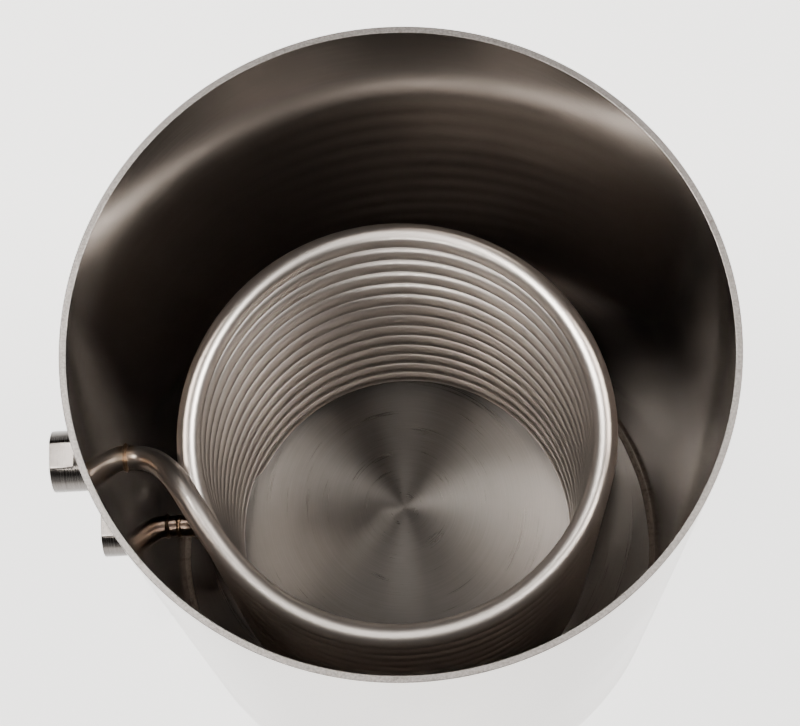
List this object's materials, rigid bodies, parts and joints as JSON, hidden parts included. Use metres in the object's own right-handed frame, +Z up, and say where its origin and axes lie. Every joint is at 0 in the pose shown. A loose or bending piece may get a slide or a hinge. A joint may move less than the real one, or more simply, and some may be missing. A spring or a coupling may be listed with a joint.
{
  "type": "immersion wort chiller",
  "caption": "Open stainless vessel with a helical cooling coil welded in, its two ends leaving through threaded couplings on one side.",
  "frame": {"origin": "centre of the underside of the vessel's floor, on the vessel's axis", "axes": "+Z up the vessel's axis towards the open mouth; both ports face -X, one above the other"},
  "size_m": [0.3398, 0.3048, 0.45],
  "materials": {
    "vessel_wall": "brushed around the vessel, glossy",
    "vessel_floor": "brushed in circles",
    "coil_tube": "satin drawn tube",
    "coupling": "turned",
    "weld_bead": "as welded",
    "heat_tinted_weld": "as welded, brown heat tint"
  },
  "bodies": {
    "root": {"vessel_shell": "vessel_wall", "vessel_floor": "vessel_floor", "floor_weld": "weld_bead", "cooling_coil": "coil_tube", "lower_spigot": "coil_tube", "lower_elbow": "coil_tube", "spigot_weld": "heat_tinted_weld", "elbow_weld": "heat_tinted_weld", "upper_wall_weld": "heat_tinted_weld", "lower_wall_weld": "heat_tinted_weld", "upper_coupling": "coupling", "lower_coupling": "coupling", "upper_coupling_weld": "weld_bead", "lower_coupling_weld": "weld_bead"}
  },
  "joints": []
}
